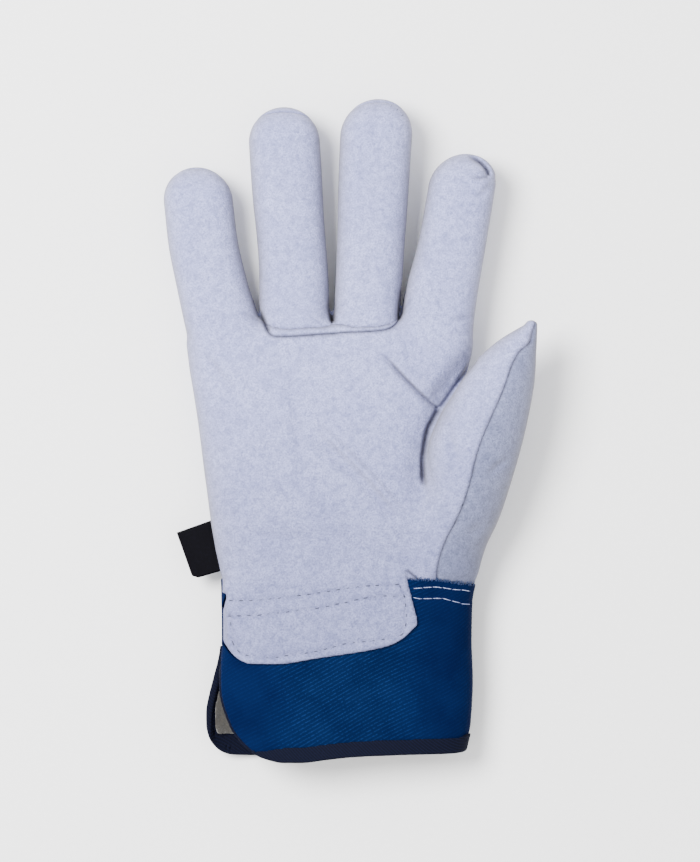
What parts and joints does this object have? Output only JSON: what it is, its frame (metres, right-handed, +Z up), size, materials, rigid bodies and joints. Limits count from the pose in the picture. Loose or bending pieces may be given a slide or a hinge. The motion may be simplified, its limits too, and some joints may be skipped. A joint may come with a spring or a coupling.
{
  "type": "winter driver glove",
  "caption": "Right-hand split leather work glove with a pile-lined twill safety cuff, lying on its back with the palm up.",
  "frame": {"origin": "on the surface that the glove lies on, at the middle of its outline seen from above", "axes": "+Y towards the fingertips, +X towards the thumb, +Z up out of the palm"},
  "size_m": [0.1488, 0.265, 0.0412],
  "materials": {
    "leather": "brushed split suede",
    "twill": "dyed cotton twill",
    "binding": "woven tape",
    "fleece": "pile fleece",
    "label": "woven satin, bare"
  },
  "bodies": {
    "root": {"palm_leather": "leather", "ring_finger_front": "leather", "middle_finger_front": "leather", "finger_root_welt": "leather", "thumb_back": "leather", "back_leather": "leather", "cuff": "twill", "cuff_binding": "binding", "lining": "fleece", "side_tag": "label"}
  },
  "joints": []
}
